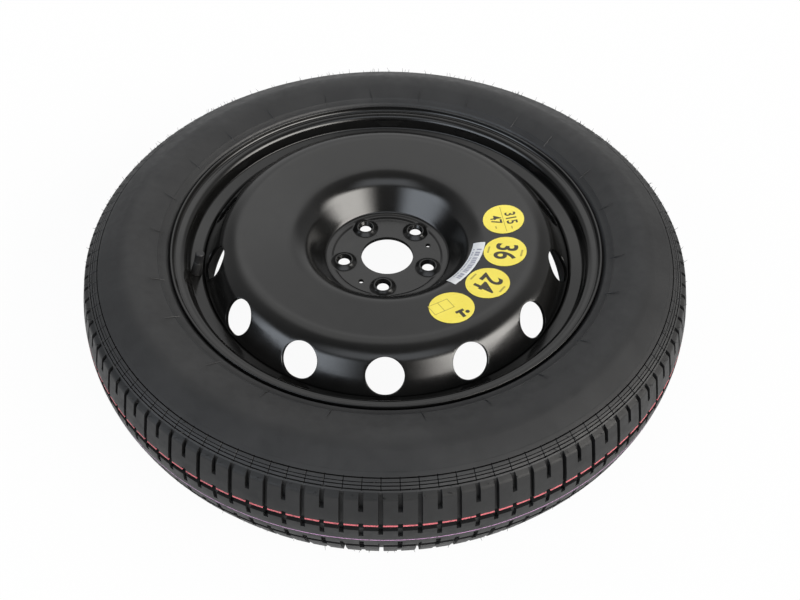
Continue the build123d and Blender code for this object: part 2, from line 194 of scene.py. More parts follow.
def pierce(bm, skin, centre, axis, front, back, form):
    # a hole as one chain of rings from the front skin to the back one; rows are (radius, depth under
    # that skin) from the outside in, and the skins are cut back and joined to the end rings
    rims = []
    for rows, way in ((front, 1), (back, -1)):
        reach = (max(radius for radius, depth in rows) + form["margin"]) * mm
        rims.append(cutSkin(skin, centre, axis, way, reach))
    for cut, rim in rims:
        bmesh.ops.delete(bm, geom=cut, context="FACES")
    turn = wheelAxis.rotation_difference(axis).to_matrix().to_4x4()
    place = Matrix.Translation(centre) @ turn
    ring = bmesh.ops.create_circle(bm, segments=form["sides"], radius=mm, matrix=place)["verts"]
    edges = list(dict.fromkeys(edge for vert in ring for edge in vert.link_edges))
    ends = [edges]
    chain = [(*row, 1) for row in front] + [(*row, -1) for row in reversed(back)]
    for step, (radius, depth, way) in enumerate(chain):
        if step:
            ring, edges = drawOn(bm, edges)
        for vert in ring:
            offset = vert.co - centre
            out = (offset - axis * offset.dot(axis)).normalized()
            spot = skinPoint(skin["tree"], centre + out * radius * mm, axis * way)
            vert.co = spot - axis * way * depth * mm
    ends.append(edges)
    for (cut, rim), end in zip(rims, ends):
        bmesh.ops.bridge_loops(bm, edges=rim + end)


# Material helpers and finishes


def newMaterial(name):
    material = bpy.data.materials.new(name)
    material.use_nodes = True
    nodes = material.node_tree.nodes
    return material, nodes, material.node_tree.links, nodes["Principled BSDF"]


def addNode(nodes, kind, **values):
    node = nodes.new(kind)
    for key, value in values.items():
        if key in node.inputs:
            node.inputs[key].default_value = value
        else:
            setattr(node, key, value)
    return node


def noiseOf(nodes, links, coordinate, scale, detail=3.0, roughness=0.55):
    noise = addNode(nodes, "ShaderNodeTexNoise")
    noise.inputs["Scale"].default_value = scale
    noise.inputs["Detail"].default_value = detail
    noise.inputs["Roughness"].default_value = roughness
    links.new(coordinate, noise.inputs["Vector"])
    return noise.outputs["Fac"]


def rampOf(nodes, links, value, stops):
    ramp = addNode(nodes, "ShaderNodeValToRGB")
    elements = ramp.color_ramp.elements
    while len(elements) < len(stops):
        elements.new(0.5)
    for element, (position, colour) in zip(elements, stops):
        element.position = position
        element.color = (*colour, 1.0) if isinstance(colour, tuple) else (colour, colour, colour, 1.0)
    links.new(value, ramp.inputs["Fac"])
    return ramp.outputs["Color"]


def bumpOf(nodes, links, height, strength, distance):
    bump = addNode(nodes, "ShaderNodeBump")
    bump.inputs["Strength"].default_value = strength
    bump.inputs["Distance"].default_value = distance
    links.new(height, bump.inputs["Height"])
    return bump.outputs["Normal"]


def mathOf(nodes, links, operation, *values):
    node = addNode(nodes, "ShaderNodeMath", operation=operation)
    for socket, value in zip(node.inputs, values):
        if isinstance(value, (int, float)):
            socket.default_value = value
        else:
            links.new(value, socket)
    return node.outputs[0]


def mixOf(nodes, links, factor, first, second):
    node = addNode(nodes, "ShaderNodeMix", data_type="RGBA")
    links.new(factor, node.inputs["Factor"])
    # a mix node's colour sockets come after those for numbers and vectors
    for socket, colour in ((node.inputs[6], first), (node.inputs[7], second)):
        if isinstance(colour, tuple):
            socket.default_value = (*colour, 1.0)
        else:
            links.new(colour, socket)
    return node.outputs[2]


# stops of the noise between dark and light and between smooth and rough, smears against grain, depth
finishForm = {"cloud": (0.3, 0.75), "smear": (0.3, 0.7), "smearShare": 0.3, "grainDepth": 0.3}


def plainFinish(name, look):
    # a finish with cloudy colour, uneven gloss and a fine grain
    material, nodes, links, shader = newMaterial(name)
    place = addNode(nodes, "ShaderNodeTexCoord").outputs["Object"]
    cloud = noiseOf(nodes, links, place, look["cloud"], 4.0)
    tones = zip(finishForm["cloud"], (look["dark"], look["light"]))
    links.new(rampOf(nodes, links, cloud, list(tones)), shader.inputs["Base Color"])
    smear = noiseOf(nodes, links, place, look["grain"] * finishForm["smearShare"], 4.0, 0.6)
    shines = zip(finishForm["smear"], look["gloss"])
    links.new(rampOf(nodes, links, smear, list(shines)), shader.inputs["Roughness"])
    grain = noiseOf(nodes, links, place, look["grain"], 2.0)
    links.new(bumpOf(nodes, links, grain, look["bump"], finishForm["grainDepth"] * mm),
              shader.inputs["Normal"])
    shader.inputs["Metallic"].default_value = look.get("metal", 0.0)
    return material


enamelLook = {
    "clean": (0.004, 0.004, 0.004), "dusty": (0.0085, 0.008245, 0.00782), "dust": 9.0,
    "gloss": (0.13, 0.21), "smear": 55.0, "ior": 1.55, "peel": 260.0, "peelBump": 0.05, "peelDepth": 0.4,
}


def enamelMaterial():
    material, nodes, links, shader = newMaterial("black_enamel")
    place = addNode(nodes, "ShaderNodeTexCoord").outputs["Object"]
    dust = noiseOf(nodes, links, place, enamelLook["dust"], 4.0)
    tones = ((0.35, enamelLook["clean"]), (0.75, enamelLook["dusty"]))
    links.new(rampOf(nodes, links, dust, tones), shader.inputs["Base Color"])
    smear = noiseOf(nodes, links, place, enamelLook["smear"], 5.0, 0.62)
    smooth, rough = enamelLook["gloss"]
    links.new(rampOf(nodes, links, smear, ((0.3, smooth), (0.72, rough))), shader.inputs["Roughness"])
    peel = noiseOf(nodes, links, place, enamelLook["peel"], 1.0)
    links.new(bumpOf(nodes, links, peel, enamelLook["peelBump"], enamelLook["peelDepth"] * mm),
              shader.inputs["Normal"])
    shader.inputs["IOR"].default_value = enamelLook["ior"]
    return material


enamel = enamelMaterial()


# Rolled rim

rimForm = {
    "sheet": 3.0,
    "steps": 420,
    "lipRound": 1.1,
    "lipAngle": 60.0,
    # tyre side of the sheet: radius, height above the middle plane, rounding
    "half": ((256.9, 61.2, 0), (257.8, 50.8, 7.5), (243.7, 50.8, 6.1), (242.125, 32.8, 6.0)),
    "well": ((226.5, 27.723, 2.0), (226.5, -25.514, 2.0)),
}
valveHoleForm = {"hole": 5.75, "edge": ((0.6, 0.0), (0.2, 0.15), (0.0, 0.6)), "sides": 32, "margin": 0.6}
valveForm = {"angle": 192.3, "lean": 18.0, "radius": 231.8, "height": 24.2}


def valvePlace():
    spoke = Vector((cos(radians(valveForm["angle"])), sin(radians(valveForm["angle"])), 0))
    lean = radians(90 + valveForm["lean"])
    axis = spoke * cos(lean) + wheelAxis * sin(lean)
    return spoke * valveForm["radius"] * mm + wheelAxis * valveForm["height"] * mm, axis


def buildRim():
    bm = bmesh.new()
    section = bothSides(rimForm["half"])
    half = len(section) // 2
    well = [(radius, rimMiddle + height, rounding) for radius, height, rounding in rimForm["well"]]
    roundedWire(bm, section[:half] + well + section[half:])
    spinRound(bm, rimForm["steps"])
    bmesh.ops.recalc_face_normals(bm, faces=bm.faces[:])
    floor = min(bm.faces, key=lambda face: abs(face.calc_center_median().z - rimMiddle * mm))
    if floor.normal.dot(floor.calc_center_median().xy.to_3d()) < 0:
        bmesh.ops.reverse_faces(bm, faces=bm.faces[:])
    bmesh.ops.solidify(bm, geom=bm.faces[:], thickness=rimForm["sheet"] * mm)
    turn = radians(rimForm["lipAngle"])
    lips = [edge for edge in bm.edges if edge.is_manifold and edge.calc_face_angle() > turn]
    bmesh.ops.bevel(bm, geom=lips, offset=rimForm["lipRound"] * mm, offset_type="OFFSET", segments=3,
                    profile=0.5, affect="EDGES", clamp_overlap=True, material=-1)
    skin = skinOf(bm)
    centre, axis = valvePlace()
    rows = edgeRows(valveHoleForm)
    pierce(bm, skin, centre, axis, rows, rows, valveHoleForm)
    bmesh.ops.recalc_face_normals(bm, faces=bm.faces[:])
    makePiece(bm, "rim_hoop", "wheel", enamel, nodes=["rim"])


buildRim()


# Pressed disc

discForm = {
    "sheet": 4.6,
    "steps": 420,
    "front": (
        (32.55, 4.6, 0), (67.0, 4.6, 2.0), (70.0, 6.2, 5.0), (77.0, 6.2, 5.0), (103.496, 47.0, 36.0),
        (190.16, 59.952, 32.0), (223.4, 20.34, 6.0), (223.4, -7.4, 0),
    ),
    "grain": 3.2,
}
ventForm = {
    "count": 14, "first": -90.6, "radius": 209.5, "height": 36.7, "flank": 50.0, "hole": 20.5,
    "edge": ((0.9, 0.0), (0.4, 0.1), (0.1, 0.4), (0.0, 0.9)), "sides": 64, "margin": 0.8,
}
boltForm = {
    "count": 5, "first": 120.7, "circle": 55.0, "sides": 40, "margin": 0.5,
    # radius and depth under the pad's skin: the raised boss with its cone seat, and the hollow behind it
    "front": ((17.2, 0.0), (16.2, -0.2), (15.2, -0.75), (11.9, -3.75), (11.3, -4.3), (10.6, -4.6),
              (9.7, -4.6), (9.4, -4.45), (7.4, -0.95), (7.25, -0.7)),
    "back": ((13.1, 0.0), (12.5, 0.3), (9.5, 3.0), (9.2, 3.2), (7.6, 3.2), (7.25, 3.45)),
}
locatorForm = {
    "angles": (234.7, 18.7), "hole": 3.0, "edge": ((0.4, 0.0), (0.1, 0.1), (0.0, 0.4)),
    "sides": 24, "margin": 0.4,
}


def padPoint(degree):
    # a place on the bolt circle, half way through the sheet
    angle = radians(degree)
    spoke = Vector((cos(angle), sin(angle), 0))
    return spoke * boltForm["circle"] * mm + wheelAxis * discForm["sheet"] / 2 * mm


def buildDisc():
    bm = bmesh.new()
    roundedWire(bm, discForm["front"], finest=discForm["grain"])
    spinRound(bm, discForm["steps"])
    bmesh.ops.recalc_face_normals(bm, faces=bm.faces[:])
    crest = max(bm.faces, key=lambda face: face.calc_center_median().z)
    if crest.normal.z < 0:
        bmesh.ops.reverse_faces(bm, faces=bm.faces[:])
    bmesh.ops.solidify(bm, geom=bm.faces[:], thickness=discForm["sheet"] * mm)
    skin = skinOf(bm)
    rows = edgeRows(ventForm)
    flank = radians(ventForm["flank"])
    for k in range(ventForm["count"]):
        angle = radians(ventForm["first"] + 360 * k / ventForm["count"])
        spoke = Vector((cos(angle), sin(angle), 0))
        axis = spoke * sin(flank) + wheelAxis * cos(flank)
        centre = spoke * ventForm["radius"] * mm + wheelAxis * ventForm["height"] * mm
        pierce(bm, skin, centre, axis, rows, rows, ventForm)
    for k in range(boltForm["count"]):
        centre = padPoint(boltForm["first"] + 360 * k / boltForm["count"])
        pierce(bm, skin, centre, wheelAxis, boltForm["front"], boltForm["back"], boltForm)
    rows = edgeRows(locatorForm)
    for degree in locatorForm["angles"]:
        pierce(bm, skin, padPoint(degree), wheelAxis, rows, rows, locatorForm)
    bmesh.ops.recalc_face_normals(bm, faces=bm.faces[:])
    makePiece(bm, "pressed_disc", "wheel", enamel, nodes=["wheel_disc"])


buildDisc()


# Tyre, one closed skin with its tread cut in

tyreForm = {
    # radius, distance from the middle plane, rounding
    "tread": ((330.85, 68.97, 0), (337.4, 66.5, 60.0), (352.4, 57.0, 6.0), (364.4, 20.0, 110.0)),
    "casing": (
        (330.85, 68.97, 0), (309.1, 77.2, 30.0), (293.1, 77.2, 36.0),
        (269.6, 65.93, 0), (269.2, 66.1, 0), (268.4, 65.72, 0), (268.0, 65.16, 0),
        (261.2, 61.9, 2.5), (254.7, 50.65, 7.65), (243.85, 50.65, 6.25), (242.6, 36.65, 2.0),
        (257.6, 41.65, 12.0), (293.1, 69.2, 28.0), (309.1, 69.2, 22.0), (337.4, 58.5, 20.0),
        (346.4, 45.0, 12.0), (352.4, 20.0, 98.0),
    ),
    "steps": 248,
    "radius": 364.4,
}
treadForm = {
    "pitches": 62,
    "firstSlot": 2.0,
    "merge": 0.02,
    "slot": 4.2,
    "slotWall": 0.25,
    # distance from the middle plane, depth
    "groove": ((15.7, 0.0), (15.9, 6.0), (22.1, 6.0), (22.3, 0.0)),
    "longSlot": ((9.9, 0.0), (10.1, 4.7), (15.7, 4.1), (22.3, 3.9), (26.9, 4.6), (42.1, 5.0),
                 (54.0, 5.0), (56.87, 4.4), (58.16, 3.24), (60.6, 0.0)),
    "shortSlot": ((41.9, 0.0), (42.1, 5.0), (54.0, 5.0), (56.87, 4.4), (58.16, 3.24), (60.6, 0.0)),
    "notch": ((5.9, 0.0), (6.1, 3.0), (26.9, 3.0), (27.1, 0.0)),
    "lines": (61.65, 63.4, 65.1, 66.75),
    "lineDepth": 0.7,
    "lineEdges": (-0.4, 0.0, 0.4),
    # a short cut across the lines in front of each slot
    "tick": {"from": 61.0, "to": 67.4, "half": 0.6, "depth": 0.7},
    # outward way of the tread's edge: its parts along the spoke and along the axis
    "edgeNormal": (0.535, 0.845),
}
halfPitch = pi * tyreForm["radius"] / treadForm["pitches"]
slotMiddle = treadForm["slotWall"] + treadForm["slot"] / 2
nudge = 0.01  # keeps a comparison clear of its border, in mm
cutSnap = 1e-7  # points nearer to a cut than this lie on it, in metres


def depthAt(knots, distance):
    for (near, above), (far, below) in zip(knots, knots[1:]):
        if near <= distance <= far:
            return above + (below - above) * (distance - near) / (far - near)
    return 0.0


def onTick(face, middle):
    # whether a face of the tread's edge lies where a tick is cut
    centre = face.calc_center_median()
    along = atan2(centre.y, centre.x) * tyreForm["radius"] - middle
    distance = abs(centre.z / mm - rimMiddle)
    reach = treadForm["slot"] / 2
    return abs(along) < reach and treadForm["tick"]["from"] < distance < treadForm["tick"]["to"]


def drawColumns(bm):
    # the tread's section drawn round through one pitch: a wall, a slot, a wall and the land, twice
    roundedWire(bm, bothSides(tyreForm["tread"]), bend=5.0)
    slot, wall = treadForm["slot"], treadForm["slotWall"]
    edges = bm.edges[:]
    for gap in (wall, slot, wall, halfPitch - slot - 2 * wall) * 2:
        column, edges = drawOn(bm, edges)
        turn = Matrix.Rotation(gap / tyreForm["radius"], 3, "Z")
        bmesh.ops.rotate(bm, verts=column, cent=(0, 0, 0), matrix=turn)


def cutRows(bm):
    # a row of edges round the tread wherever something starts, ends or changes its depth
    cuts = ("groove", "longSlot", "shortSlot", "notch")
    rows = {distance for name in cuts for distance, depth in treadForm[name]}
    rows |= {line + edge for line in treadForm["lines"] for edge in treadForm["lineEdges"]}
    rows |= {treadForm["tick"]["from"], treadForm["tick"]["to"]}
    for row in sorted(rows):
        for side in (1, -1):
            height = (rimMiddle + side * row) * mm
            bmesh.ops.bisect_plane(bm, geom=bm.verts[:] + bm.edges[:] + bm.faces[:], dist=cutSnap,
                                   plane_co=(0, 0, height), plane_no=(0, 0, 1))


def cutTicks(bm):
    # edges across the tread's edge for the two sides and the bottom of each tick
    half = treadForm["tick"]["half"]
    for offset in (-half, 0.0, half):
        for middle in (slotMiddle, halfPitch + slotMiddle):
            angle = (middle + offset) / tyreForm["radius"]
            band = [face for face in bm.faces if onTick(face, middle)]
            edges = dict.fromkeys(edge for face in band for edge in face.edges)
            verts = dict.fromkeys(vert for edge in edges for vert in edge.verts)
            bmesh.ops.bisect_plane(bm, geom=[*verts, *edges, *band], dist=cutSnap,
                                   plane_co=(0, 0, 0), plane_no=(-sin(angle), cos(angle), 0))


def pressIn(bm, grooveShadeLayer):
    # groove, slots and notches go in along the spokes, lines and ticks square to the tread's edge
    tick = treadForm["tick"]
    outPart, axisPart = treadForm["edgeNormal"]
    slotReach = treadForm["slot"] / 2 + treadForm["slotWall"] / 2
    for vert in bm.verts:
        height = vert.co.z / mm - rimMiddle
        distance = abs(height)
        along = atan2(vert.co.y, vert.co.x) * tyreForm["radius"]
        half, within = divmod(along + nudge, halfPitch)
        depth = depthAt(treadForm["groove"], distance)
        if abs(within - slotMiddle) < slotReach:
            for name in ("shortSlot", "notch") if half == 1 else ("longSlot",):
                depth = max(depth, depthAt(treadForm[name], distance))
        out = vert.co.xy.to_3d().normalized()
        vert.co -= out * depth * mm
        onLine = any(abs(distance - line) < nudge for line in treadForm["lines"])
        inBand = tick["from"] + nudge < distance < tick["to"] - nudge
        if onLine or inBand and abs(within - slotMiddle - nudge) < 2 * nudge:
            outward = out * outPart + wheelAxis * (axisPart if height > 0 else -axisPart)
            vert.co -= outward * (treadForm["lineDepth"] if onLine else tick["depth"]) * mm
            # marks the vertex for painted shade in the tyre's finish
            vert[grooveShadeLayer] = 1.0


def treadSector():
    # one pitch of the tread, with its lines and ticks marked so that the finish paints shade into their
    # grooves
    bm = bmesh.new()
    grooveShadeLayer = bm.verts.layers.float.new("cut")
    drawColumns(bm)
    cutRows(bm)
    cutTicks(bm)
    pressIn(bm, grooveShadeLayer)
    turn = radians(treadForm["firstSlot"]) - slotMiddle / tyreForm["radius"]
    turnRound = Matrix.Rotation(turn, 3, "Z")
    bmesh.ops.rotate(bm, verts=bm.verts[:], cent=(0, 0, 0), matrix=turnRound)
    return bm


def buildTyre():
    bm = treadSector()
    turns = treadForm["pitches"] - 1
    bmesh.ops.spin(bm, geom=bm.verts[:] + bm.edges[:] + bm.faces[:], cent=(0, 0, 0), axis=wheelAxis,
                   angle=2 * pi * turns / treadForm["pitches"], steps=turns, use_duplicate=True)
    bmesh.ops.remove_doubles(bm, verts=bm.verts[:], dist=treadForm["merge"] * mm)
    treadEdges = openEdges(bm)
    casing = bmesh.new()
    roundedWire(casing, bothSides(tyreForm["casing"]), bend=10.0)
    spinRound(casing, tyreForm["steps"])
    mesh = bpy.data.meshes.new("casing")
    casing.to_mesh(mesh)
    casing.free()
    bm.from_mesh(mesh)
    bpy.data.meshes.remove(mesh)
    known = set(treadEdges)
    casingEdges = [edge for edge in openEdges(bm) if edge not in known]
    for side in (1, -1):
        ring = [edge for edge in treadEdges + casingEdges
                if (edge.verts[0].co.z - rimMiddle * mm) * side > 0]
        bmesh.ops.bridge_loops(bm, edges=ring)
    bmesh.ops.recalc_face_normals(bm, faces=bm.faces[:])
    print("tyre open edges", len(openEdges(bm)))
    makePiece(bm, "tyre_casing", "wheel", tyreRubber, nodes=["tyre"])


spikeForm = {"sides": 5, "taper": 0.4}
hairForm = {
    # how far down from the tread's edge, and how many
    "rows": ((2.0, 72), (9.0, 58)), "strays": 120, "strayReach": (0.5, 18.0),
    # the tread's edge and the way a hair stands, both as radius and distance from the middle plane
    "edge": (352.0, 56.6), "rise": (0.55, 0.7),
    "length": (3.0, 7.0), "thick": 0.32, "lean": 0.5, "spread": 0.2, "scatter": 1.0, "seed": 11,
}
flashForm = {"count": 24, "first": 5.0, "foot": (264.5, 63.3), "tip": (280.0, 72.6), "thick": 0.6,
             "spread": 2.5, "skew": 0.01}


def addSpike(bm, foot, tip, thick):
    # a thin tapered spike of rubber, its foot a little inside what it stands on
    way = tip - foot
    turn = wheelAxis.rotation_difference(way.normalized()).to_matrix().to_4x4()
    place = Matrix.Translation((foot + tip) / 2) @ turn
    bmesh.ops.create_cone(bm, segments=spikeForm["sides"], radius1=thick * mm, depth=way.length,
                          radius2=thick * spikeForm["taper"] * mm, cap_ends=True, matrix=place)


def spokePoint(radius, distance, angle, side):
    return Vector((radius * cos(angle), radius * sin(angle), rimMiddle + side * distance)) * mm


def addHair(bm, chance, angle, down, side):
    # a hair of rubber on the shoulder, so far down from the tread's edge
    length = chance.uniform(*hairForm["length"])
    lean = chance.uniform(-hairForm["lean"], hairForm["lean"])
    outPart, axisPart = treadForm["edgeNormal"]
    radius = hairForm["edge"][0] - axisPart * down
    distance = hairForm["edge"][1] + outPart * down
    up, aside = hairForm["rise"]
    tipAngle = angle + lean * length / radius
    tip = spokePoint(radius + up * length, distance + aside * length, tipAngle, side)
    addSpike(bm, spokePoint(radius, distance, angle, side), tip, hairForm["thick"])


def buildHairs():
    bm = bmesh.new()
    chance = random.Random(hairForm["seed"])

    def shift(most):
        return chance.uniform(-most, most)

    for side in (1, -1):
        for down, count in hairForm["rows"]:
            for k in range(count):
                angle = 2 * pi * (k + shift(hairForm["spread"])) / count
                addHair(bm, chance, angle, down + shift(hairForm["scatter"]), side)
        for k in range(hairForm["strays"]):
            addHair(bm, chance, chance.uniform(0, 2 * pi), chance.uniform(*hairForm["strayReach"]), side)
        for k in range(flashForm["count"]):
            degree = flashForm["first"] + 360 * k / flashForm["count"] + shift(flashForm["spread"])
            angle = radians(degree)
            tipAngle = angle + shift(flashForm["skew"])
            foot = spokePoint(*flashForm["foot"], angle, side)
            addSpike(bm, foot, spokePoint(*flashForm["tip"], tipAngle, side), flashForm["thick"])
    makePiece(bm, "mould_hairs", "wheel", tyreRubber)


tyreLook = {
    "dark": (0.012, 0.0123, 0.013), "light": (0.023, 0.0233, 0.024), "cloud": 16.0,
    "gloss": (0.44, 0.6), "smear": 90.0, "shine": 0.5, "grain": 900.0, "bump": 0.12, "bumpDepth": 0.4,
    # the tread is darker and duller than the sidewall
    "treadFrom": 347.0, "treadDull": 0.2, "treadDark": (0.008, 0.0082, 0.0086),
    "treadLight": (0.015, 0.0152, 0.0156),
    # painted lines: middle and half width, on the ribs only and worn in spots
    "red": (0.53, 0.115, 0.135), "redLine": (23.7, 1.1),
    "purple": (0.44, 0.24, 0.43), "purpleLine": (-2.0, 0.7),
    "paintFrom": 361.1, "scuff": 420.0, "wear": ((0.36, 0.35), (0.46, 1.0)),
    # painted shade: the lines and ticks pressed into the tread are coloured near black, standing in for
    # the shade in these grooves
    "cut": (0.005, 0.005, 0.005), "cutFrom": 0.36,
}


def tyreMaterial():
    material, nodes, links, shader = newMaterial("tyre_rubber")
    place = addNode(nodes, "ShaderNodeTexCoord").outputs["Object"]
    split = addNode(nodes, "ShaderNodeSeparateXYZ")
    links.new(place, split.inputs[0])
    x, y, z = split.outputs

    def calc(operation, *values):
        return mathOf(nodes, links, operation, *values)

    radius = calc("SQRT", calc("ADD", calc("MULTIPLY", x, x), calc("MULTIPLY", y, y)))
    distance = calc("SUBTRACT", z, rimMiddle * mm)
    cloud = noiseOf(nodes, links, place, tyreLook["cloud"], 5.0, 0.6)
    side = rampOf(nodes, links, cloud, ((0.3, tyreLook["dark"]), (0.72, tyreLook["light"])))
    tread = rampOf(nodes, links, cloud, ((0.3, tyreLook["treadDark"]), (0.72, tyreLook["treadLight"])))
    onTread = calc("GREATER_THAN", radius, tyreLook["treadFrom"] * mm)
    rubber = mixOf(nodes, links, onTread, side, tread)
    onRib = calc("GREATER_THAN", radius, tyreLook["paintFrom"] * mm)
    scuff = noiseOf(nodes, links, place, tyreLook["scuff"], 3.0)
    painted = calc("MULTIPLY", onRib, rampOf(nodes, links, scuff, tyreLook["wear"]))
    for line, tint in (("redLine", "red"), ("purpleLine", "purple")):
        middle, width = tyreLook[line]
        mask = calc("COMPARE", distance, middle * mm, width * mm)
        rubber = mixOf(nodes, links, calc("MULTIPLY", mask, painted), rubber, tyreLook[tint])
    # painted shade in the grooves: where vertices are marked, the rubber turns near black and loses its
    # specular
    marked = addNode(nodes, "ShaderNodeAttribute", attribute_name="cut")
    cut = calc("GREATER_THAN", marked.outputs["Fac"], tyreLook["cutFrom"])
    rubber = mixOf(nodes, links, cut, rubber, tyreLook["cut"])
    dull = calc("MULTIPLY", onTread, tyreLook["treadDull"])
    dull = calc("MAXIMUM", dull, calc("MULTIPLY", cut, tyreLook["shine"]))
    links.new(calc("SUBTRACT", tyreLook["shine"], dull), shader.inputs["Specular IOR Level"])
    links.new(rubber, shader.inputs["Base Color"])
    smear = noiseOf(nodes, links, place, tyreLook["smear"], 5.0, 0.65)
    smooth, rough = tyreLook["gloss"]
    links.new(rampOf(nodes, links, smear, ((0.3, smooth), (0.7, rough))), shader.inputs["Roughness"])
    grain = noiseOf(nodes, links, place, tyreLook["grain"], 2.0)
    links.new(bumpOf(nodes, links, grain, tyreLook["bump"], tyreLook["bumpDepth"] * mm),
              shader.inputs["Normal"])
    return material


tyreRubber = tyreMaterial()
buildTyre()
buildHairs()


# Snap-in valve, drawn along +Z and then stood on the rim's ledge

rubberLook = {"dark": (0.012, 0.012, 0.0125), "light": (0.02, 0.02, 0.02),
              "gloss": (0.42, 0.6), "cloud": 60.0, "grain": 1500.0, "bump": 0.1}
plasticLook = {"dark": (0.01, 0.01, 0.011), "light": (0.016, 0.016, 0.016),
               "gloss": (0.3, 0.42), "cloud": 90.0, "grain": 2200.0, "bump": 0.06}
# radius and height along the valve, with a rounding
stemRubberForm = {"steps": 64, "section": (
    (2.1, -9.5, 0), (5.0, -9.5, 0.8), (6.8, -7.7, 0.8), (6.8, -4.9, 0.5), (5.65, -3.1, 0.3),
    (5.65, 0.1, 0.2), (6.6, 0.1, 0.5), (6.6, 1.9, 2.0), (5.2, 18.5, 0.7), (3.9, 18.5, 0.2),
    (3.9, -6.05, 0), (2.1, -6.05, 0))}
capRibForm = {"count": 18, "depth": 0.28, "from": 20.2, "to": 29.8, "inside": 5.1}
capForm = {"steps": 72, "merge": 0.002, "section": (
    (0, 30.3, 0), (4.1, 30.3, 0.3), (4.1, 18.8, 0.2), (5.2, 18.8, 0.3), (5.2, 20.0, 0), (5.2, 20.4, 0),
    (5.2, 29.6, 0), (5.2, 30.0, 0), (5.2, 32.3, 1.2), (0, 32.3, 0))}


def standOnLedge(bm):
    foot, axis = valvePlace()
    turn = wheelAxis.rotation_difference(axis).to_matrix().to_4x4()
    bmesh.ops.transform(bm, matrix=Matrix.Translation(foot) @ turn, verts=bm.verts[:])


def buildStemRubber():
    bm = bmesh.new()
    roundedWire(bm, stemRubberForm["section"], closed=True, bend=12.0)
    spinRound(bm, stemRubberForm["steps"])
    bmesh.ops.recalc_face_normals(bm, faces=bm.faces[:])
    standOnLedge(bm)
    makePiece(bm, "valve_rubber", "wheel", plainFinish("valve_rubber", rubberLook),
              nodes=["valve_body"])


def buildCap():
    bm = bmesh.new()
    roundedWire(bm, capForm["section"], bend=12.0)
    spinRound(bm, capForm["steps"])
    bmesh.ops.remove_doubles(bm, verts=bm.verts[:], dist=capForm["merge"] * mm)
    for vert in bm.verts:
        height = vert.co.z / mm
        outside = hypot(vert.co.x, vert.co.y) > capRibForm["inside"] * mm
        if outside and capRibForm["from"] < height < capRibForm["to"]:
            valley = 0.5 - 0.5 * cos(atan2(vert.co.y, vert.co.x) * capRibForm["count"])
            vert.co -= vert.co.xy.to_3d().normalized() * capRibForm["depth"] * mm * valley
    bmesh.ops.recalc_face_normals(bm, faces=bm.faces[:])
    standOnLedge(bm)
    makePiece(bm, "dust_cap", "cap", plainFinish("cap_plastic", plasticLook),
              nodes=["valve_cap"])


buildStemRubber()
buildCap()

steelLook = {"dark": (0.5, 0.5, 0.49), "light": (0.62, 0.62, 0.61),
             "gloss": (0.25, 0.38), "cloud": 200.0, "grain": 3000.0, "bump": 0.05, "metal": 1.0}
# the coil stands on the core's lower wall, and the pin's collar presses it to a share of its length
springForm = {"wire": 0.2, "sides": 12, "coil": 1.2, "floor": 18.25, "rise": 5.9, "turns": 5,
              "steps": 28, "pressed": 0.762}


def buildSpring(material):
    bm = bmesh.new()
    start = Vector((springForm["coil"], 0, springForm["floor"])) * mm
    place = Matrix.Translation(start) @ Matrix.Rotation(pi / 2, 4, "X")
    bmesh.ops.create_circle(bm, segments=springForm["sides"], radius=springForm["wire"] * mm,
                            matrix=place)
    steps = springForm["turns"] * springForm["steps"]
    bmesh.ops.spin(bm, geom=bm.verts[:] + bm.edges[:], cent=(0, 0, 0), axis=wheelAxis, steps=steps,
                   angle=2 * pi * springForm["turns"], dvec=(0, 0, springForm["rise"] * mm / steps))
    bmesh.ops.holes_fill(bm, edges=openEdges(bm))
    bmesh.ops.recalc_face_normals(bm, faces=bm.faces[:])
    standOnLedge(bm)
    spring = makePiece(bm, "coil_spring", "wheel", material, nodes=["core_spring"])
    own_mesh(spring)


coreSteel = plainFinish("core_steel", steelLook)
buildSpring(coreSteel)


# Finishes of the CAD pieces that stay as they are

def dress(nodeNames, material):
    for name in nodeNames:
        materials = frame["nodes"][name].data.materials
        materials.clear()
        materials.append(material)


brassLook = {"dark": (0.66, 0.46, 0.19), "light": (0.78, 0.58, 0.27),
             "gloss": (0.22, 0.34), "cloud": 140.0, "grain": 2600.0, "bump": 0.05, "metal": 1.0}
sealLook = {"dark": (0.014, 0.014, 0.014), "light": (0.024, 0.023, 0.022),
            "gloss": (0.5, 0.65), "cloud": 160.0, "grain": 1800.0, "bump": 0.1}
filmLook = {"gloss": (0.26, 0.36), "cloud": 30.0, "grain": 700.0, "bump": 0.03}
yellowLook = {**filmLook, "dark": (0.9, 0.74, 0.085), "light": (0.96, 0.82, 0.12)}
whiteLook = {**filmLook, "dark": (0.76, 0.77, 0.79), "light": (0.86, 0.86, 0.86)}
roundLabels = [f"round_label_{number}" for number in range(1, 5)]
dress(["weld_runs"], enamel)
dress(["valve_stem", "core_housing"], plainFinish("stem_brass", brassLook))
dress(["core_pin"], coreSteel)
dress(["core_gasket", "core_seal", "cap_seal"], plainFinish("seal_rubber", sealLook))
dress(roundLabels, plainFinish("label_yellow", yellowLook))
dress(["strip_label"], plainFinish("label_white", whiteLook))
print("CAD pieces dressed")


# Print on the stickers: plain numbers and shapes, laid over the crown

crownForm = {"corner": (103.496, 47.0), "slope": 8.5, "wall": 57.0, "rounding": 36.0,
             "film": 0.46, "ink": 0.05}
labelForm = {"radii": (143.1, 144.7, 146.4, 147.6), "angles": (5.6, -16.99, -39.34, -61.43)}
printForm = {"barGrid": (4, 2), "dotSides": 24, "capital": 0.7, "bold": 0.03, "narrow": 0.8,
             "merge": 0.001}
